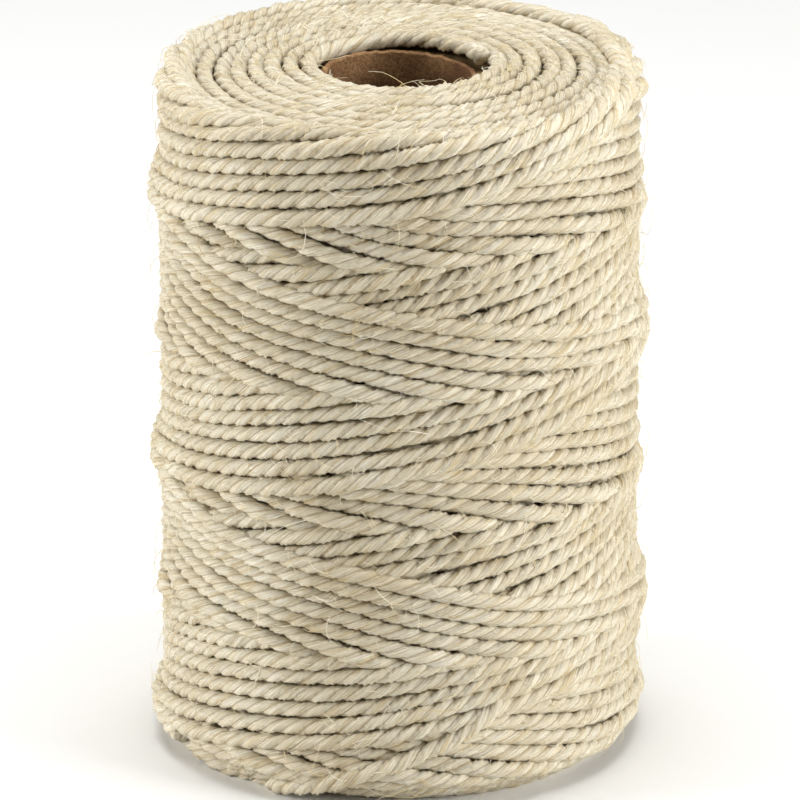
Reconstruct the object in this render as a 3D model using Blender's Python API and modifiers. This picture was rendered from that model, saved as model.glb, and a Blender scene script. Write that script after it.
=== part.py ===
"""A spool of sisal twine, cross-wound on a cardboard tube and standing on one end.

Metres, +Z up. The tube's axis is Z, and the origin is the middle of the face that the spool stands on.
"""

import math

import bpy
from mathutils import Vector

# The wound package.
SPOOL_HEIGHT = 0.147
WOUND_RADIUS = 0.0486  # under the raised bands, which add up to 2 mm
TWINE = 0.0036  # diameter of the twine
TOP_EDGE = 0.0045  # rounding where the side turns into the top face
BOTTOM_EDGE = 0.0075
TOP_DISH = 0.0020  # the top face is this much lower at its rim than round the tube
CLEARANCE = 0.0003

# The tube, which stops a little short of the twine at both ends.
BORE_RADIUS = 0.0150
TUBE_WALL = 0.0013
TUBE_TOP_DROP = 0.0032
TUBE_BOTTOM_DROP = 0.0015
TUBE_EDGE = 0.0003

# The twine climbs and falls this far in each turn round the spool.
RISE_PER_TURN = 0.0575
# Each band of turns ends in a step down, where the turns laid last lie on the older ones.
# direction: 1 climbs to the right seen from outside, -1 falls. edge_height: the step at +X.
BANDS = (
    {"direction": 1, "edge_height": 0.0314, "step": 0.0010},
    {"direction": -1, "edge_height": 0.0356, "step": 0.0010},
)
STEP_WIDTH = 0.0060  # the step is as wide as the turn that makes it bends over
BAND_FADE = 0.0160  # near the ends the turns reverse, and the bands run out

ROUND_STEPS = 64
TUBE_STEPS = 48
SIDE_ROWS = 30
EDGE_ROWS = 4


def principled(name, colour, roughness):
    """A plain Principled BSDF material, for colour and roughness only."""
    material = bpy.data.materials.new(name)
    material.use_nodes = True
    shader = material.node_tree.nodes["Principled BSDF"]
    shader.inputs["Base Color"].default_value = (*colour, 1.0)
    shader.inputs["Roughness"].default_value = roughness
    shader.inputs["Metallic"].default_value = 0.0
    return material


def arc(centre, radius, start, end, rows):
    """Points (r, z) along an arc, from one angle in degrees to another."""
    points = []
    for row in range(rows + 1):
        angle = math.radians(start + (end - start) * row / rows)
        points.append((centre[0] + radius * math.cos(angle), centre[1] + radius * math.sin(angle)))
    return points


def line(start, end, rows):
    """Points (r, z) between two points, without the two ends."""
    a = Vector(start)
    b = Vector(end)
    return [tuple(a.lerp(b, row / rows)) for row in range(1, rows)]


def wound_profile():
    """The package's outline from the tube out over the top, down the side and back in below."""
    inner = BORE_RADIUS + TUBE_WALL + CLEARANCE
    lip = TWINE / 2  # the innermost turn makes a round lip at each end of the tube
    rim = SPOOL_HEIGHT - TOP_DISH
    top_lip = arc((inner + lip, SPOOL_HEIGHT - lip), lip, 180, 90, EDGE_ROWS)
    top_edge = arc((WOUND_RADIUS - TOP_EDGE, rim - TOP_EDGE), TOP_EDGE, 90, 0, EDGE_ROWS)
    bottom_edge = arc((WOUND_RADIUS - BOTTOM_EDGE, BOTTOM_EDGE), BOTTOM_EDGE, 0, -90, EDGE_ROWS)
    bottom_lip = arc((inner + lip, lip), lip, -90, -180, EDGE_ROWS)
    top_face = line(top_lip[-1], top_edge[0], 3)
    side = line(top_edge[-1], bottom_edge[0], SIDE_ROWS)
    return top_lip + top_face + top_edge + side + bottom_edge + bottom_lip


def tube_profile():
    """The tube's section: a thin wall with slightly softened edges."""
    outer = BORE_RADIUS + TUBE_WALL
    top = SPOOL_HEIGHT - TUBE_TOP_DROP
    bottom = TUBE_BOTTOM_DROP
    return [
        (BORE_RADIUS, top - TUBE_EDGE),
        (BORE_RADIUS + TUBE_EDGE, top),
        (outer - TUBE_EDGE, top),
        (outer, top - TUBE_EDGE),
        (outer, bottom + TUBE_EDGE),
        (outer - TUBE_EDGE, bottom),
        (BORE_RADIUS + TUBE_EDGE, bottom),
        (BORE_RADIUS, bottom + TUBE_EDGE),
    ]


def turned(name, profile, steps, material, collection):
    """A closed outline at +X, turned once round Z."""
    mesh = bpy.data.meshes.new(name)
    points = [(r, 0.0, z) for r, z in profile]
    edges = [(i, (i + 1) % len(points)) for i in range(len(points))]
    mesh.from_pydata(points, edges, [])
    mesh.materials.append(material)
    body = bpy.data.objects.new(name, mesh)
    collection.objects.link(body)
    screw = body.modifiers.new("Turn", "SCREW")
    screw.angle = math.tau
    screw.steps = steps
    screw.render_steps = steps
    screw.use_merge_vertices = True
    screw.merge_threshold = 0.00001
    screw.use_smooth_shade = True
    return body


def apply_modifiers(body):
    """Replaces the object's mesh by the one that its modifiers make."""
    graph = bpy.context.evaluated_depsgraph_get()
    made = bpy.data.meshes.new_from_object(body.evaluated_get(graph))
    before = body.data
    body.modifiers.clear()
    body.data = made
    bpy.data.meshes.remove(before)
    made.name = body.name


def smooth(value):
    value = min(max(value, 0.0), 1.0)
    return value * value * (3.0 - 2.0 * value)


def band_height(band, angle, z):
    """How far one band stands proud at this place: most at its step, and nothing one rise behind it.

    The turns laid last lie at the step, and the band is older the further behind the step it lies.
    A climbing band lies above its step and a falling band lies below it.
    """
    edge = band["edge_height"] + band["direction"] * RISE_PER_TURN * angle / math.tau
    behind = (band["direction"] * (z - edge)) % RISE_PER_TURN
    if behind > RISE_PER_TURN - STEP_WIDTH:
        return band["step"] * smooth((behind - RISE_PER_TURN + STEP_WIDTH) / STEP_WIDTH)
    return band["step"] * (1.0 - behind / (RISE_PER_TURN - STEP_WIDTH))


def raise_bands(body):
    """Moves the side of the package out along the bands of turns."""
    for vertex in body.data.vertices:
        x, y, z = vertex.co
        radius = math.hypot(x, y)
        to_end = min(z, SPOOL_HEIGHT - z)
        on_side = smooth((radius - WOUND_RADIUS + BOTTOM_EDGE) / BOTTOM_EDGE)
        share = on_side * smooth(to_end / BAND_FADE)
        angle = math.atan2(y, x)
        raised = share * sum(band_height(band, angle, z) for band in BANDS)
        vertex.co.x = x * (radius + raised) / radius
        vertex.co.y = y * (radius + raised) / radius


def main():
    for leftover in list(bpy.data.objects):
        bpy.data.objects.remove(leftover, do_unlink=True)
    collection = bpy.data.collections.new("Spool of sisal twine")
    bpy.context.scene.collection.children.link(collection)
    sisal = principled("Sisal", (0.62, 0.53, 0.36), 0.75)
    cardboard = principled("Cardboard", (0.30, 0.19, 0.10), 0.9)

    turned("core_tube", tube_profile(), TUBE_STEPS, cardboard, collection)
    twine = turned("wound_twine", wound_profile(), ROUND_STEPS, sisal, collection)
    apply_modifiers(twine)
    raise_bands(twine)


main()
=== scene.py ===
"""The looks of a spool of sisal twine: the laid turns, the end faces, the cardboard tube and loose fibres."""

import math
import random

import bpy
import numpy as np
from mathutils import Matrix, Vector


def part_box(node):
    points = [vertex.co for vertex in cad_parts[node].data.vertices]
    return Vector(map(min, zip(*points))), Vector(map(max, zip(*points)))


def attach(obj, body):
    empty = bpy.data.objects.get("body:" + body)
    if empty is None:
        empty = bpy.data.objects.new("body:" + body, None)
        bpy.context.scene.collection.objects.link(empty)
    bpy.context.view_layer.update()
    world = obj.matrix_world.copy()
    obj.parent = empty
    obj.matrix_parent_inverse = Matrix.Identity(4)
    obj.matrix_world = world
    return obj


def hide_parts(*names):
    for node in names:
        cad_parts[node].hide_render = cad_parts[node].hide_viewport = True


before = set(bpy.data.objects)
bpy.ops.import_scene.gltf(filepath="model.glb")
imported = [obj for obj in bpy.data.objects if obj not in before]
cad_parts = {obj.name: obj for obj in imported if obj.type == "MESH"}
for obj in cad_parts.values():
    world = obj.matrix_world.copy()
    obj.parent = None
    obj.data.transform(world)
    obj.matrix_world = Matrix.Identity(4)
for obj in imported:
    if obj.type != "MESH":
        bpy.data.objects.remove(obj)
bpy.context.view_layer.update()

MM = 0.001
package_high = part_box("wound_twine")[1]
tube_low, tube_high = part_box("core_tube")

# The package's own sizes. The crest is the surface that the outermost turns just reach.
HEIGHT = package_high[2]
CREST_RADIUS = 49.3 * MM
TOP_DISH = 2.0 * MM  # the top face is lower at its rim than round the tube
RIM = HEIGHT - TOP_DISH
TOP_EDGE = 4.5 * MM
BOTTOM_EDGE = 7.5 * MM
TUBE_OUTER = tube_high[0]
TUBE_BORE = 15.0 * MM

# The twine.
TWINE = 3.5 * MM
LAY = 12.4 * MM  # one turn of the three plies round each other
NESTING = 0.70  # soft turns sink into each other, and a layer is this much of the twine's thickness
PRESSED = 0.55  # what stands over the crest is pressed down to this share
BEARING = 0.7  # this share of the twine's width bears on what it crosses
LAYER = TWINE * NESTING

# How it is wound: the turns climb and fall by RISE a turn, and each pass lies beside the last.
RISE = 57.5 * MM
BESIDE = 3.55 * MM  # from one turn to the next, measured up the side
FRONT = -math.pi / 2
CLIMBING_EDGE = 132.0 * MM  # height of the newest climbing turn at the front
FALLING_EDGE = 107.5 * MM  # height of the newest falling turn at the front
STEP = 0.62  # the newest band stands this share of a layer above the oldest
PASSES = 17  # enough passes up and down to cover the side

CELLS_ROUND = 720
CELL_UP = 0.4 * MM
BAND_FADE = 14 * MM  # the bands' steps run out over this much of the side at each end
MAP_MARGIN = 4 * MM  # the height map goes on this far past each bore

# Under the package its own weight presses the turns: how proud the twine's middle may stand there.
PROUD_ON_SIDE = 3.0 * MM
SUNK_BELOW = 1.8 * MM
FLOOR_GAP = 0.05 * MM


# ---------------------------------------------------------------------------------------------
# The surface that the turns lie on


SIDE_FOOT = BOTTOM_EDGE
SIDE_TOP = RIM - TOP_EDGE
BOTTOM_FACE = SIDE_FOOT - BOTTOM_EDGE * math.pi / 2
TOP_FACE = SIDE_TOP + TOP_EDGE * math.pi / 2
BORE = TUBE_OUTER + 0.3 * MM
BOTTOM_BORE = BOTTOM_FACE - (CREST_RADIUS - BOTTOM_EDGE - BORE)
TOP_BORE = TOP_FACE + (CREST_RADIUS - TOP_EDGE - BORE)


def lean(along):
    """The angle by which the package's surface has turned from the side towards an end face."""
    top = np.clip((along - SIDE_TOP) / TOP_EDGE, 0, math.pi / 2)
    bottom = np.clip((SIDE_FOOT - along) / BOTTOM_EDGE, 0, math.pi / 2)
    return top - bottom


def surface_point(angle, along, height):
    """A point at a height over the crest, from its angle round the axis and its place along the outline.

    The outline runs from the bore over the bottom face, up the side and over the top face to the bore.
    """
    turn = lean(along)
    at_top = turn > 0
    under = np.where(turn < 0, -turn, 0)
    height = np.minimum(height, PROUD_ON_SIDE * np.cos(under) - SUNK_BELOW * np.sin(under))
    edge = np.where(at_top, TOP_EDGE, BOTTOM_EDGE)
    over_face = np.where(at_top, np.maximum(along - TOP_FACE, 0), np.maximum(BOTTOM_FACE - along, 0))
    dish = TOP_DISH * np.clip(over_face / (TOP_BORE - TOP_FACE), 0, 1) * at_top
    reach = np.maximum(edge + height, 0.2 * MM)
    on_edge = np.abs(turn) > 0
    radius = np.where(on_edge, CREST_RADIUS - edge + reach * np.cos(turn) - over_face, CREST_RADIUS + height)
    centre = np.where(at_top, SIDE_TOP, SIDE_FOOT)
    level = np.where(on_edge, centre + reach * np.sin(turn) + dish, along)
    return np.stack([radius * np.cos(angle), radius * np.sin(angle), level], axis=-1)


class Ground:
    """How high the package has grown everywhere, as a map of heights over its base."""

    def __init__(self):
        self.low = BOTTOM_BORE - MAP_MARGIN
        self.rows = int((TOP_BORE + MAP_MARGIN - self.low) / CELL_UP) + 1
        angles = np.arange(CELLS_ROUND) * math.tau / CELLS_ROUND
        alongs = self.low + np.arange(self.rows) * CELL_UP
        angle, along = np.meshgrid(angles, alongs, indexing="ij")
        ages = band_age(angle, along, 1) + band_age(angle, along, -1)
        side = LAYER * STEP * (1 - ages)
        fade = np.clip(np.minimum(along - SIDE_FOOT, SIDE_TOP - along) / BAND_FADE, 0, 1)
        face = np.clip(np.abs(lean(along)) / (math.pi / 2), 0, 1)
        self.height = side * fade + face * LAYER
        self.crest = 2 * LAYER

    def rows_of(self, along):
        return np.clip(((along - self.low) / CELL_UP).astype(int), 6, self.rows - 7)

    def footprint(self):
        """Steps across the twine with its height there, without the flanks, which slide past a neighbour."""
        reach = int(BEARING * TWINE / 2 / CELL_UP)
        for shift in range(-reach, reach + 1):
            yield shift, NESTING * math.sqrt((TWINE / 2) ** 2 - (shift * CELL_UP) ** 2)

    def lay(self, angle, along):
        """Lays a turn of twine, pulled tight over what it crosses, and returns the height of its middle."""
        column = np.round(angle / math.tau * CELLS_ROUND).astype(int) % CELLS_ROUND
        row = self.rows_of(along)
        middle = np.full(len(angle), -1.0)
        for shift, rise in self.footprint():
            middle = np.maximum(middle, self.height[column, row + shift] + rise)
        middle = pulled_tight(angle, along, middle)
        proud = np.maximum(middle - self.crest + NESTING * TWINE / 2, 0)
        middle = middle - (1 - PRESSED) * proud
        for shift, rise in self.footprint():
            np.maximum.at(self.height, (column, row + shift), middle + rise)
        return middle


def band_age(angle, along, direction):
    """How long ago a family of turns last passed here: 0 at its newest turn, 1 just before the next."""
    edge = CLIMBING_EDGE if direction > 0 else FALLING_EDGE
    newest = edge + direction * RISE * (angle - FRONT) / math.tau
    return (direction * (along - newest)) % RISE / RISE


def pulled_tight(angle, along, height):
    """The lowest line over the heights that a pulled string can follow: it bridges hollows.

    Round the axis a straight string dips by the curve of the package, and on the end faces hardly.
    """
    step = np.gradient(angle)
    dip = CREST_RADIUS * (0.25 + 0.75 * np.cos(lean(along)))
    sag = np.cumsum(np.cumsum(dip * step) * step)
    level = height - sag
    kept = [0]
    for i in range(1, len(level)):
        while len(kept) > 1:
            a, b = kept[-2], kept[-1]
            if (level[b] - level[a]) * (angle[i] - angle[a]) > (level[i] - level[a]) * (angle[b] - angle[a]):
                break
            kept.pop()
        kept.append(i)
    return np.interp(angle, angle[kept], level[kept]) + sag


# ---------------------------------------------------------------------------------------------
# Routes of the twine


def wander(count, length, size, rng):
    """A slow random drift: one value for each point, changing over about the given length in points."""
    knots = rng.normal(0, size, int(count / length) + 4)
    place = np.arange(count) / length + 1
    first = place.astype(int)
    share = place - first
    share = share * share * (3 - 2 * share)
    return knots[first] * (1 - share) + knots[first + 1] * share


def shared_drift(angle, along, waves):
    """How far turns lie off their even place: neighbours drift together, and crowd or gape a little."""
    drift = np.zeros(len(angle))
    for round_waves, up_waves, size, offset in waves:
        drift += size * np.sin(round_waves * angle + up_waves * math.tau * along / HEIGHT + offset)
    return drift


CYCLE = math.tau * (5 + BESIDE / RISE)  # turns of the spool between one top end and the next
CLIMB = RISE / math.tau
LAST_TOP = FRONT + (FALLING_EDGE + RISE - CLIMBING_EDGE) / 2 / CLIMB
PEAK = CLIMBING_EDGE + CLIMB * (LAST_TOP - FRONT)
ROUNDED = 0.25  # radians over which the turn at each end is rounded


def winding_route(first_top, last_top):
    """Angles and places along the outline of the passes from one top end to another."""
    step = math.tau / CELLS_ROUND
    start = math.floor((first_top - CYCLE / 2) / step)
    end = math.floor((last_top + CYCLE / 2) / step)
    angle = np.arange(start, end + 1) * step
    phase = (angle - LAST_TOP + CYCLE / 2) % CYCLE - CYCLE / 2
    from_top = np.sqrt(phase**2 + ROUNDED**2) - ROUNDED
    from_bottom = np.sqrt((CYCLE / 2 - np.abs(phase)) ** 2 + ROUNDED**2) - ROUNDED
    down = PEAK - CLIMB * (from_top + ROUNDED)
    up = PEAK - CLIMB * (CYCLE / 2) + CLIMB * (from_bottom + ROUNDED)
    return angle, np.where(np.abs(phase) < CYCLE / 4, down, up)


def wound_side(ground, rng):
    """The passes up and down the side, oldest first, as one long route."""
    angle, along = winding_route(LAST_TOP - (PASSES - 1) * CYCLE, LAST_TOP)
    waves = [
        (n, rng.integers(-4, 5), rng.uniform(0.15, 0.5) * MM, rng.uniform(0, 6)) for n in (1, 1, 2, 2, 3, 4, 5)
    ]
    along = along + shared_drift(angle, along, waves) + wander(len(angle), 60, 0.16 * MM, rng)
    height = np.empty(len(angle))
    half = int(CYCLE / 2 / math.tau * CELLS_ROUND)
    for start in range(0, len(angle), half):
        part = slice(start, min(start + half, len(angle)))
        height[part] = ground.lay(angle[part], along[part])
    return angle, along, height


def spiral_route(start, end, turns_from):
    """A flat coil from one place along the outline to another, each turn beside the last."""
    step = math.tau / CELLS_ROUND
    towards = 1 if end > start else -1
    angle = [turns_from]
    along = [start]
    while (end - along[-1]) * towards > 0:
        edge = TOP_EDGE if along[-1] > SIDE_TOP else BOTTOM_EDGE
        on_edge = 0 < abs(lean(np.array(along[-1]))) < math.pi / 2
        squeezed = edge / (edge - TWINE / 2) if on_edge else 1.0
        along.append(along[-1] + towards * BESIDE * squeezed * step / math.tau)
        angle.append(angle[-1] + step)
    return np.array(angle), np.array(along)


def coil(ground, start, end, turns_from, rng):
    """An end face's coil of turns, one of them a little higher or further out than the next."""
    angle, along = spiral_route(start, end, turns_from)
    along = along + wander(len(angle), 170, 0.3 * MM, rng)
    height = ground.lay(angle, along) + wander(len(angle), 110, 0.28 * MM, rng)
    return angle, along, height


# Where the last turn runs: degrees to the right of the front, and mm up the side from the floor.
LAST_TURN = (
    (-170, 4.0), (-120, 2.5), (-80, 3.0), (-62, 2.0), (-46, -2.0), (-37, -2.0), (-30, 2.5), (-20, 5.0),
    (0, 11.0), (15, 17.0), (22, 21.0), (29, 26.0),
)
TUCK_ANGLE = 9  # degrees over which its end goes under
TUCK_DEPTH = 3.6 * MM


def last_turn(ground):
    """The end of the winding: a turn along the bottom edge that climbs over the others and is tucked in."""
    step = math.tau / CELLS_ROUND
    degrees = np.arange(LAST_TURN[0][0], LAST_TURN[-1][0], math.degrees(step))
    along = np.interp(degrees, [d for d, _ in LAST_TURN], [mm * MM for _, mm in LAST_TURN])
    soft = np.hanning(15) / np.hanning(15).sum()
    along = np.convolve(np.pad(along, 7, mode="edge"), soft, mode="valid")
    angle = FRONT + np.radians(degrees)
    middle = ground.lay(angle, along)
    tucked = np.clip((degrees - LAST_TURN[-1][0] + TUCK_ANGLE) / TUCK_ANGLE, 0, 1)
    return angle, along, middle - tucked**2 * TUCK_DEPTH


# ---------------------------------------------------------------------------------------------
# Materials


def linear(colour):
    """A #RRGGBB colour as the shader's linear values."""
    shares = [int(colour[i : i + 2], 16) / 255 for i in (1, 3, 5)]
    return [c / 12.92 if c <= 0.04045 else ((c + 0.055) / 1.055) ** 2.4 for c in shares] + [1.0]


def socket(sockets, name):
    return next(s for s in sockets if name in (s.identifier, s.name))


def add(tree, kind, inputs, output, **settings):
    """Adds a node with its settings, a value or a link for each input, and returns the output named."""
    node = tree.nodes.new(kind)
    for key, value in settings.items():
        if key == "stops":
            set_stops(node.color_ramp, value)
        else:
            setattr(node, key, value)
    for key, value in inputs.items():
        if isinstance(value, bpy.types.NodeSocket):
            tree.links.new(value, socket(node.inputs, key))
        else:
            socket(node.inputs, key).default_value = value
    return socket(node.outputs, output)


def set_stops(ramp, stops):
    """Gives a colour ramp its stops: a place and a #RRGGBB colour each."""
    while len(ramp.elements) > 2:
        ramp.elements.remove(ramp.elements[-1])
    while len(ramp.elements) < len(stops):
        ramp.elements.new(0.5)
    for element, (place, colour) in zip(ramp.elements, stops):
        element.position = place
        element.color = linear(colour)


def new_material(name, **constants):
    """A material, its tree and its shader, with the shader's own plain values set."""
    material = bpy.data.materials.new(name)
    material.use_nodes = True
    shader = material.node_tree.nodes["Principled BSDF"]
    for key, value in constants.items():
        shader.inputs[key.replace("_", " ")].default_value = value
    return material, material.node_tree, shader


GIRTH = math.pi * TWINE


def sisal_twine():
    """Laid sisal: silky pale fibres along each ply, their palest streaks painted glints, a few golden ones,
    and brown in the valleys, partly dirt and partly painted shade.
    """
    material, tree, shader = new_material(
        "Sisal twine", Anisotropic=0.7, Specular_IOR_Level=0.8, Sheen_Weight=0.1, Sheen_Roughness=0.35
    )
    uv = add(tree, "ShaderNodeUVMap", {}, "UV", uv_map="strand")
    place = add(tree, "ShaderNodeTexCoord", {}, "Object")
    # Single fibres 0.15 mm across and 9 mm long: the silky lines along the plies. Their palest streaks are
    # painted glints, and the darker ones are the fibres' own colour.
    fibre_cell = (9 * MM / LAY, 0.15 * MM / GIRTH, 1)
    fibre_size = {"Vector": uv, "Rotation": (0, 0, math.radians(6)), "Scale": fibre_cell}
    fibre_place = add(tree, "ShaderNodeMapping", fibre_size, "Vector", vector_type="TEXTURE")
    fibre_look = {"Vector": fibre_place, "Scale": 1.0, "Detail": 3.0, "Roughness": 0.7}
    fibres = add(tree, "ShaderNodeTexNoise", fibre_look, "Fac", noise_dimensions="2D")
    # Bundles of fibres 1.5 mm across and 12 mm long: one is greyer and the next is golden.
    bundle_size = {"Vector": uv, "Location": (7.3, 3.1, 0), "Scale": (12 * MM / LAY, 1.5 * MM / GIRTH, 1)}
    bundle_place = add(tree, "ShaderNodeMapping", bundle_size, "Vector", vector_type="TEXTURE")
    bundle_look = {"Vector": bundle_place, "Scale": 1.0, "Detail": 2.0, "Roughness": 0.6}
    bundles = add(tree, "ShaderNodeTexNoise", bundle_look, "Fac", noise_dimensions="2D")
    # A slow change over 22 mm of the package.
    length_look = {"Vector": place, "Scale": 1 / (22 * MM), "Detail": 2.0}
    lengths = add(tree, "ShaderNodeTexNoise", length_look, "Fac")

    # Fibre colour runs from brown to near white, and the near-white end is painted glint.
    fibre_tone_and_glints = add(
        tree, "ShaderNodeValToRGB", {"Fac": fibres}, "Color",
        stops=(
            (0.26, "#A08A5E"), (0.39, "#CDC2A4"), (0.5, "#E0D9C6"), (0.62, "#F1ECE0"), (0.76, "#FCFAF4"),
        ),
    )
    bundle_tone = add(
        tree, "ShaderNodeValToRGB", {"Fac": bundles}, "Color",
        stops=((0.28, "#E6CF98"), (0.40, "#F3EBD6"), (0.60, "#FDFBF5"), (0.75, "#E6E1D4")),
    )
    length_tone = add(
        tree, "ShaderNodeValToRGB", {"Fac": lengths}, "Color",
        stops=((0.35, "#E4DAC2"), (0.62, "#FFFDF8")),
    )
    tone = add(
        tree, "ShaderNodeMix", {"Factor_Float": 0.6, "A_Color": fibre_tone_and_glints, "B_Color": bundle_tone},
        "Result_Color", data_type="RGBA", blend_type="MULTIPLY",
    )
    tone = add(
        tree, "ShaderNodeMix", {"Factor_Float": 0.5, "A_Color": tone, "B_Color": length_tone},
        "Result_Color", data_type="RGBA", blend_type="MULTIPLY",
    )
    # How near the valley between two plies: 0 on the middle of a ply and 1 in the valley. The brown mixed in
    # there is partly dirt and partly painted shade.
    across = add(tree, "ShaderNodeSeparateXYZ", {"Vector": uv}, "Y")
    plies = {"Value": across, "Value_001": float(PLIES)}
    in_ply = add(tree, "ShaderNodeMath", plies, "Value", operation="MULTIPLY")
    halves = {"Value": in_ply, "Value_001": 0.5}
    from_valley = add(tree, "ShaderNodeMath", halves, "Value", operation="PINGPONG")
    valley_shade_and_dirt = add(
        tree, "ShaderNodeMapRange",
        {"Value": from_valley, "From Min": 0.10, "From Max": 0.0, "To Min": 0.0, "To Max": 0.6}, "Result",
    )
    # Painted shade, with some dirt, darkens the valleys between the plies.
    tone = add(
        tree, "ShaderNodeMix", {"Factor_Float": valley_shade_and_dirt, "A_Color": tone, "B_Color": linear("#85693A")},
        "Result_Color", data_type="RGBA",
    )
    tree.links.new(tone, shader.inputs["Base Color"])
    gloss = add(
        tree, "ShaderNodeMapRange",
        {"Value": fibres, "From Min": 0.3, "From Max": 0.7, "To Min": 0.55, "To Max": 0.34}, "Result",
    )
    tree.links.new(gloss, shader.inputs["Roughness"])
    # The gloss runs across the fibres, as it does on combed hair.
    along_fibre = add(tree, "ShaderNodeTangent", {}, "Tangent", direction_type="UV_MAP", uv_map="strand")
    tree.links.new(along_fibre, shader.inputs["Tangent"])
    ridges = add(tree, "ShaderNodeBump", {"Height": fibres, "Strength": 0.8, "Distance": 0.2 * MM}, "Normal")
    tree.links.new(ridges, shader.inputs["Normal"])
    return material


def loose_fibre():
    """Single sisal fibres standing off the twine: pale straw, stiff and slightly glossy."""
    material, tree, shader = new_material("Loose sisal fibre", Roughness=0.45)
    place = add(tree, "ShaderNodeTexCoord", {}, "Object")
    look = {"Vector": place, "Scale": 1 / (6 * MM), "Detail": 0.0}
    patches = add(tree, "ShaderNodeTexNoise", look, "Fac")
    tone = add(
        tree, "ShaderNodeValToRGB", {"Fac": patches}, "Color",
        stops=((0.35, "#D2BE8A"), (0.5, "#E6DAB6"), (0.65, "#F3ECD8")),
    )
    tree.links.new(tone, shader.inputs["Base Color"])
    return material


def shaded_sisal():
    """The older turns deep under the outer ones: they lie in shade and look brown."""
    material, _, shader = new_material("Sisal in shade", Roughness=0.8)
    shader.inputs["Base Color"].default_value = linear("#8A7246")
    return material


def grey_board():
    """Spirally wound grey-brown board: matt, with paper fibres and stains."""
    material, tree, shader = new_material("Cardboard", Roughness=0.85)
    place = add(tree, "ShaderNodeTexCoord", {}, "Object")
    # Paper fibres 0.5 mm across and stains some 9 mm across.
    speck_look = {"Vector": place, "Scale": 1 / (0.5 * MM), "Detail": 3.0, "Roughness": 0.6}
    specks = add(tree, "ShaderNodeTexNoise", speck_look, "Fac")
    stain_look = {"Vector": place, "Scale": 1 / (9 * MM), "Detail": 2.0, "Roughness": 0.5}
    stains = add(tree, "ShaderNodeTexNoise", stain_look, "Fac")
    speck_tone = add(
        tree, "ShaderNodeValToRGB", {"Fac": specks}, "Color",
        stops=((0.35, "#7A5632"), (0.65, "#A98459")),
    )
    stain_tone = add(
        tree, "ShaderNodeValToRGB", {"Fac": stains}, "Color",
        stops=((0.35, "#A58C72"), (0.65, "#FFFFFF")),
    )
    tone = add(
        tree, "ShaderNodeMix", {"Factor_Float": 0.8, "A_Color": speck_tone, "B_Color": stain_tone},
        "Result_Color", data_type="RGBA", blend_type="MULTIPLY",
    )
    tree.links.new(tone, shader.inputs["Base Color"])
    rough = add(tree, "ShaderNodeBump", {"Height": specks, "Strength": 0.5, "Distance": 0.2 * MM}, "Normal")
    tree.links.new(rough, shader.inputs["Normal"])
    return material


def plain(name, colour, roughness):
    """One colour and gloss, for small or unlit things."""
    material, _, shader = new_material(name, Roughness=roughness)
    shader.inputs["Base Color"].default_value = linear(colour)
    return material


# ---------------------------------------------------------------------------------------------
# Modelling


def deselect():
    if bpy.context.mode != "OBJECT":
        bpy.ops.object.mode_set(mode="OBJECT")
    bpy.ops.object.select_all(action="DESELECT")


def chosen(piece):
    deselect()
    piece.select_set(True)
    bpy.context.view_layer.objects.active = piece
    return piece


def named(piece, name, material):
    piece.name = name
    piece.data.name = name
    piece.data.materials.append(material)
    return piece


def apply_all(piece):
    chosen(piece)
    for modifier in list(piece.modifiers):
        bpy.ops.object.modifier_apply(modifier=modifier.name)


PLIES = 3
FACES_PER_PLY = 4
STEPS_PER_LAY = 9
FULLNESS = 1.13  # the loose outer fibres make the twine this much thicker than it lies
VALLEY = 0.77  # the valley between two plies, as a share of the twine's radius


def one_lay(material):
    """One lay length of three-ply twine along +X: a three-lobed ring drawn out and turned as it goes."""
    deselect()
    bpy.ops.mesh.primitive_circle_add(
        vertices=PLIES * FACES_PER_PLY, radius=TWINE / 2, rotation=(0, math.pi / 2, 0)
    )
    piece = bpy.context.object
    bpy.ops.object.transform_apply(location=False, rotation=True, scale=True)
    for vertex in piece.data.vertices:
        ply = (1 - math.cos(math.atan2(vertex.co.z, vertex.co.y) * PLIES)) / 2
        vertex.co *= FULLNESS * (VALLEY + (1 - VALLEY) * ply**0.6)
    bpy.ops.object.mode_set(mode="EDIT")
    bpy.ops.mesh.select_all(action="SELECT")
    for _ in range(STEPS_PER_LAY):
        bpy.ops.mesh.extrude_region_move(TRANSFORM_OT_translate={"value": (LAY / STEPS_PER_LAY, 0, 0)})
        bpy.ops.transform.rotate(value=math.tau / STEPS_PER_LAY, orient_axis="X", center_override=(0, 0, 0))
    bpy.ops.mesh.select_all(action="SELECT")
    bpy.ops.mesh.normals_make_consistent(inside=False)
    bpy.ops.object.mode_set(mode="OBJECT")
    bpy.ops.object.shade_smooth()
    unroll(piece.data)
    return named(piece, "one_lay", material)


def unroll(mesh):
    """UVs of one lay: u runs once along it, and v runs once round it and follows the plies."""
    layer = mesh.uv_layers.new(name="strand")
    sides = PLIES * FACES_PER_PLY
    for face in mesh.polygons:
        round_it = {}
        for corner in face.loop_indices:
            x, y, z = mesh.vertices[mesh.loops[corner].vertex_index].co
            turned = math.atan2(z, y) / math.tau + x / LAY
            round_it[corner] = round(turned * sides) % sides
        over_seam = max(round_it.values()) - min(round_it.values()) > 1
        for corner, side in round_it.items():
            x = mesh.vertices[mesh.loops[corner].vertex_index].co.x
            v = side / sides + (1.0 if over_seam and side == 0 else 0.0)
            layer.data[corner].uv = (x / LAY, v)


def path_curve(points, radii, tilts):
    """A curve through the points, for twine to follow."""
    data = bpy.data.curves.new("route", "CURVE")
    data.dimensions = "3D"
    data.twist_mode = "Z_UP"
    data.use_radius = True
    spline = data.splines.new("POLY")
    spline.points.add(len(points) - 1)
    spline.points.foreach_set("co", np.column_stack([points, np.ones(len(points))]).ravel())
    spline.points.foreach_set("radius", radii)
    spline.points.foreach_set("tilt", tilts)
    curve = bpy.data.objects.new("route", data)
    bpy.context.scene.collection.objects.link(curve)
    return curve


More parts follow.
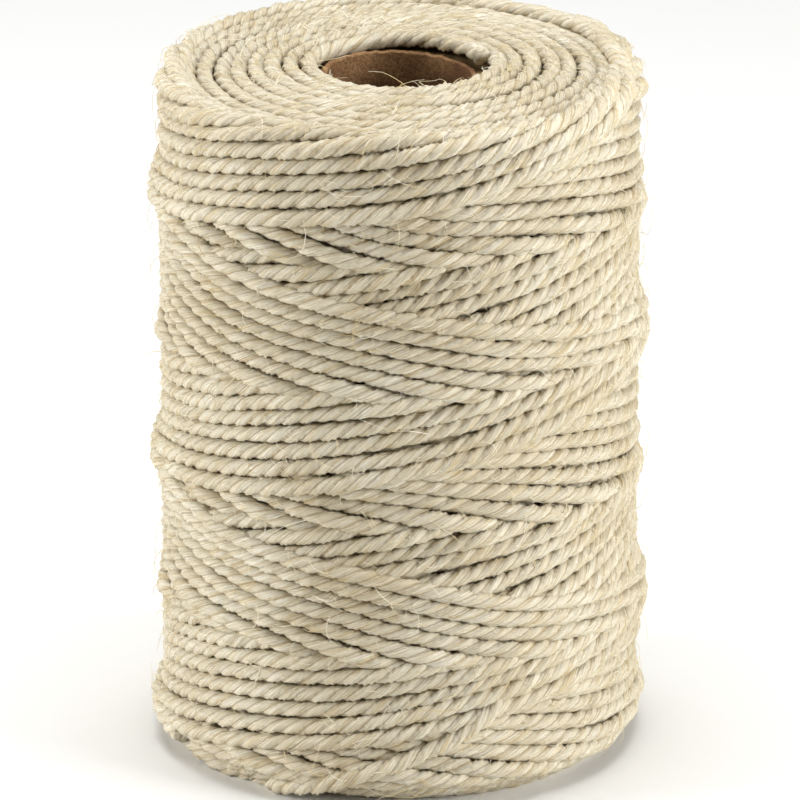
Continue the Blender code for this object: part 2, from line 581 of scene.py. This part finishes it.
def lay_twine(name, unit, points, rng):
    """Twine along a route: whole lays in a row, bent along the route and made a little uneven."""
    length = np.linalg.norm(np.diff(points, axis=0), axis=1).sum()
    lays = max(1, round(length / LAY))
    stretch = length / (lays * LAY)
    count = len(points)
    radii = 1.0 + wander(count, 12, 0.04, rng) + wander(count, 90, 0.03, rng)
    route = path_curve(points, radii, wander(count, 20, 0.35, rng))
    piece = bpy.data.objects.new(name, unit.data.copy())
    piece.data.name = name
    bpy.context.scene.collection.objects.link(piece)
    piece.data.transform(Matrix.Diagonal((stretch, 1, 1, 1)))
    row = piece.modifiers.new("Lays in a row", "ARRAY")
    row.count = lays
    row.use_relative_offset = False
    row.use_constant_offset = True
    row.constant_offset_displace = (LAY * stretch, 0, 0)
    row.use_merge_vertices = True
    row.merge_threshold = 0.02 * MM
    row.offset_u = 1.0
    bend = piece.modifiers.new("Along the route", "CURVE")
    bend.object = route
    bend.deform_axis = "POS_X"
    bumps = piece.modifiers.new("Uneven fibre", "DISPLACE")
    bumps.texture = bpy.data.textures["Uneven fibre"]
    bumps.texture_coords = "LOCAL"
    bumps.strength = 0.6 * MM
    bumps.mid_level = 0.5
    apply_all(piece)
    close_ends(piece)
    rest_on_floor(piece.data)
    bpy.data.objects.remove(route, do_unlink=True)
    return piece


def rest_on_floor(mesh):
    """Twine that would reach under the floor is pressed flat on it."""
    places = np.empty(len(mesh.vertices) * 3)
    mesh.vertices.foreach_get("co", places)
    places[2::3] = np.maximum(places[2::3], FLOOR_GAP)
    mesh.vertices.foreach_set("co", places)
    mesh.update()


def close_ends(piece):
    chosen(piece)
    bpy.ops.object.mode_set(mode="EDIT")
    bpy.ops.mesh.select_mode(type="EDGE")
    bpy.ops.mesh.select_all(action="DESELECT")
    bpy.ops.mesh.select_non_manifold(
        use_wire=False, use_multi_face=False, use_non_contiguous=False, use_verts=False
    )
    bpy.ops.mesh.edge_face_add()
    bpy.ops.object.mode_set(mode="OBJECT")


def spun(name, outline, steps, material):
    """A closed outline of (radius, height) points, spun once round the axis."""
    deselect()
    mesh = bpy.data.meshes.new(name)
    edges = [(i, (i + 1) % len(outline)) for i in range(len(outline))]
    mesh.from_pydata([(r, 0, z) for r, z in outline], edges, [])
    piece = bpy.data.objects.new(name, mesh)
    bpy.context.scene.collection.objects.link(piece)
    mesh.materials.append(material)
    chosen(piece)
    bpy.ops.object.mode_set(mode="EDIT")
    bpy.ops.mesh.select_all(action="SELECT")
    bpy.ops.mesh.spin(steps=steps, angle=math.tau, center=(0, 0, 0), axis=(0, 0, 1))
    bpy.ops.mesh.select_all(action="SELECT")
    bpy.ops.mesh.remove_doubles(threshold=0.00001)
    bpy.ops.mesh.normals_make_consistent(inside=False)
    bpy.ops.object.mode_set(mode="OBJECT")
    bpy.ops.object.shade_smooth_by_angle(angle=math.radians(40))
    return piece


def older_turns(depth, material):
    """The package under the outer turns, as one body, so that no light passes between the turns."""
    alongs = np.concatenate([
        np.linspace(BOTTOM_BORE, BOTTOM_FACE, 4), np.linspace(BOTTOM_FACE, SIDE_FOOT, 6)[1:],
        np.linspace(SIDE_FOOT, SIDE_TOP, 8)[1:], np.linspace(SIDE_TOP, TOP_FACE, 6)[1:],
        np.linspace(TOP_FACE, TOP_BORE, 4)[1:],
    ])
    shell = surface_point(np.zeros(len(alongs)), alongs, np.full(len(alongs), -depth))
    return spun("older_turns", [(p[0], p[2]) for p in shell], 64, material)


TUBE_TILT = 0.035  # the tube's rim stands higher on the left by this slope
SEAM_RISE = 60 * MM  # a strip of the tube's paper climbs this far in a turn


RIM_POINTS = 120


def board_tube(material):
    """The cardboard tube: spiral paper with a seam inside, and a rough cut rim that isn't quite level."""
    bore, outer = TUBE_BORE, TUBE_OUTER
    low, high = tube_low[2], tube_high[2]
    levels = list(np.linspace(low + 0.3 * MM, high - 0.3 * MM, 30))
    outline = [(bore, z) for z in levels]
    outline += [(bore + 0.3 * MM, high), (outer - 0.3 * MM, high)]
    outline += [(outer, high - 0.3 * MM), (outer, low + 0.3 * MM)]
    outline += [(outer - 0.3 * MM, low), (bore + 0.3 * MM, low)]
    piece = spun("core_tube_board", outline, RIM_POINTS, material)
    draws = random.Random(8)
    rough = [draws.uniform(-0.18, 0.18) * MM for _ in range(RIM_POINTS)]
    for vertex in piece.data.vertices:
        x, y, z = vertex.co
        radius = math.hypot(x, y)
        angle = math.atan2(y, x) % math.tau
        near_top = max(0.0, (z - high + 12 * MM) / (12 * MM))
        point = round(angle / math.tau * RIM_POINTS) % RIM_POINTS
        z += near_top * (-TUBE_TILT * x + rough[point] * near_top)
        if radius < (bore + outer) / 2:
            behind = (angle / math.tau - z / SEAM_RISE) % 1.0
            radius += 0.22 * MM * behind
        vertex.co = (radius * math.cos(angle), radius * math.sin(angle), z)
    return piece


def torn_flake(material):
    """A flake of the tube's inner paper, torn loose on the left and curling away from the wall."""
    deselect()
    bpy.ops.mesh.primitive_grid_add(x_subdivisions=10, y_subdivisions=8, size=1)
    piece = named(bpy.context.object, "torn_paper", material)
    draws = random.Random(3)
    ragged = [draws.uniform(0.75, 1.1) for _ in range(40)]
    top = tube_high[2] + TUBE_TILT * 13 * MM
    for i, vertex in enumerate(piece.data.vertices):
        across, up = vertex.co.x, vertex.co.y
        edge = max(abs(across), abs(up)) * 2
        wave = 1 - (1 - ragged[i % 40]) * edge**3
        angle = math.radians(180 + 8 + 62 * across * wave)
        radius = 14.75 * MM - 1.1 * MM * max(0, across + 0.1) ** 2 * 4
        vertex.co = (radius * math.cos(angle), radius * math.sin(angle), top - 6.5 * MM + 11 * MM * up * wave)
    thick = piece.modifiers.new("Paper", "SOLIDIFY")
    thick.thickness = 0.25 * MM
    apply_all(piece)
    bpy.ops.object.shade_smooth()
    return piece


# ---------------------------------------------------------------------------------------------
# Loose fibres


def seen_places(routes, ground):
    """Places on the turns that lie outermost, with the heading of the twine there."""
    found = []
    for angle, along, middle in routes:
        column = np.round(angle / math.tau * CELLS_ROUND).astype(int) % CELLS_ROUND
        top = middle + NESTING * TWINE / 2
        open_above = top >= ground.height[column, ground.rows_of(along)] - 0.2 * MM
        open_above &= lean(along) > -1.2
        heading = np.arctan2(np.gradient(along), np.gradient(angle) * CREST_RADIUS)
        found.append(np.column_stack([angle, along, middle - ground.crest, heading])[open_above])
    return np.concatenate(found)


def fibre_paths(places, count, length, lift, curl, steps, rng):
    """Paths of loose fibres, each leaving the twine at a slant and curling as it goes.

    A path is worked out on the unrolled package, so that a long fibre follows it round.
    """
    start = places[rng.integers(0, len(places), count)]
    angle, along, height, heading = (start[:, i].copy() for i in range(4))
    height += TWINE * rng.uniform(0.30, 0.48, count)
    heading = heading + rng.normal(0, 0.6, count) + math.pi * rng.integers(0, 2, count)
    turn = rng.normal(0, curl, count) / steps
    rise = rng.uniform(0.1, 1.0, count) * lift
    drop = rise * rng.uniform(0.8, 2.3, count) / steps
    stride = rng.gamma(3.0, length / 3.0, count).clip(length / 4, length * 3) / steps
    paths = []
    for _ in range(steps + 1):
        paths.append(surface_point(angle, along, height))
        face_radius = np.maximum(np.hypot(paths[-1][:, 0], paths[-1][:, 1]), TUBE_BORE)
        angle = angle + stride * np.cos(rise) * np.cos(heading) / face_radius
        along = along + stride * np.cos(rise) * np.sin(heading)
        height = np.maximum(height + stride * np.sin(rise), -0.6 * MM)
        heading = heading + turn + rng.normal(0, 0.15, count)
        rise = rise - drop
    return np.stack(paths, axis=1)


def fibres(name, paths, thickness, material):
    """Loose fibres drawn as thin round curves that taper to about a third of their thickness, and turned into
    one mesh.
    """
    deselect()
    data = bpy.data.curves.new(name, "CURVE")
    data.dimensions = "3D"
    data.bevel_depth = thickness / 2
    data.bevel_resolution = 0
    steps = paths.shape[1]
    taper = np.linspace(1.0, 0.35, steps)
    for path in paths:
        spline = data.splines.new("POLY")
        spline.points.add(steps - 1)
        spline.points.foreach_set("co", np.column_stack([path, np.ones(steps)]).ravel())
        spline.points.foreach_set("radius", taper)
    piece = bpy.data.objects.new(name, data)
    bpy.context.scene.collection.objects.link(piece)
    chosen(piece)
    bpy.ops.object.convert(target="MESH")
    piece = bpy.context.object
    bpy.ops.object.shade_smooth()
    rest_on_floor(piece.data)
    return named(piece, name, material)


# ---------------------------------------------------------------------------------------------
# The setting


def soft_box(name, place, aim, size, power, colour):
    light = bpy.data.lights.new(name, "AREA")
    light.shape = "RECTANGLE"
    light.size, light.size_y = size
    light.energy = power
    light.color = linear(colour)[:3]
    box = bpy.data.objects.new(name, light)
    box.location = place
    box.rotation_euler = (Vector(aim) - Vector(place)).to_track_quat("-Z", "Y").to_euler()
    bpy.context.scene.collection.objects.link(box)


def studio():
    deselect()
    bpy.ops.mesh.primitive_plane_add(size=6)
    floor = named(bpy.context.object, "floor", plain("White floor", "#F0F0EE", 0.7))
    soft_box("left_box", (-1.20, -0.15, 0.40), (0, 0, 0.07), (0.5, 0.7), 14.5, "#FFFFFF")
    soft_box("right_box", (1.10, -0.45, 0.40), (0, 0, 0.07), (0.6, 0.7), 16, "#FFFFFF")
    soft_box("top_box", (0.0, 0.1, 1.3), (0, 0, 0.1), (0.9, 0.9), 17, "#FFFFFF")
    world = bpy.data.worlds.new("White studio")
    world.use_nodes = True
    backdrop = world.node_tree.nodes["Background"]
    backdrop.inputs["Color"].default_value = linear("#FFFFFF")
    backdrop.inputs["Strength"].default_value = 0.05
    bpy.context.scene.world = world
    bpy.context.scene.view_settings.view_transform = "Standard"


def look_from_the_front():
    camera = bpy.data.cameras.new("camera")
    camera.sensor_width = 36
    camera.lens = 410
    camera.clip_end = 20
    eye = bpy.data.objects.new("camera", camera)
    aim = Vector((0.0001, 0, 0.0724))
    slope = math.radians(20)
    eye.location = aim + Vector((0, -math.cos(slope), math.sin(slope))) * 1.9
    eye.rotation_euler = (aim - eye.location).to_track_quat("-Z", "Y").to_euler()
    bpy.context.scene.collection.objects.link(eye)
    bpy.context.scene.camera = eye


# ---------------------------------------------------------------------------------------------


def route_points(route, ground, every=3):
    angle, along, middle = route
    points = surface_point(angle, along, middle - ground.crest)
    kept = points[::every]
    return kept if (len(points) - 1) % every == 0 else np.vstack([kept, points[-1:]])


def main():
    rng = np.random.default_rng(5)
    ground = Ground()
    top = coil(ground, TOP_BORE - 0.6 * MM, TOP_FACE - 3.0 * MM, 0.3, rng)
    bottom = coil(ground, BOTTOM_BORE + 2.0 * MM, 1.0 * MM, 1.3, rng)
    side = wound_side(ground, rng)
    tail = last_turn(ground)

    unevenness = bpy.data.textures.new("Uneven fibre", "CLOUDS")
    unevenness.noise_scale = 2.5 * MM
    unevenness.noise_depth = 1
    sisal = sisal_twine()
    unit = one_lay(sisal)

    turns = [
        lay_twine("top_turns", unit, route_points(top, ground), rng),
        lay_twine("bottom_turns", unit, route_points(bottom, ground), rng),
        lay_twine("last_turn", unit, route_points(tail, ground), rng),
    ]
    points = route_points(side, ground)
    share = len(points) // 3
    for number, start in enumerate((0, share, 2 * share), 1):
        end = start + share + 1 if number < 3 else len(points)
        turns.append(lay_twine(f"side_turns_{number}", unit, points[start:end], rng))
    bpy.data.objects.remove(unit, do_unlink=True)
    turns.append(older_turns(ground.crest, shaded_sisal()))

    pale = loose_fibre()
    seen = seen_places((top, side, tail), ground)
    long_paths = fibre_paths(seen, 1400, 6 * MM, 0.8, 2.2, 6, rng)
    short_paths = fibre_paths(seen, 4200, 2.6 * MM, 0.9, 1.0, 3, rng)
    turns.append(fibres("loose_fibres", long_paths, 0.17 * MM, pale))
    turns.append(fibres("short_fibres", short_paths, 0.13 * MM, pale))
    for piece in turns:
        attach(piece, "root")
        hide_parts("wound_twine")

    for piece in (board_tube(grey_board()), torn_flake(plain("Torn paper", "#A69A86", 0.9))):
        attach(piece, "root")
        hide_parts("core_tube")

    studio()
    look_from_the_front()


main()
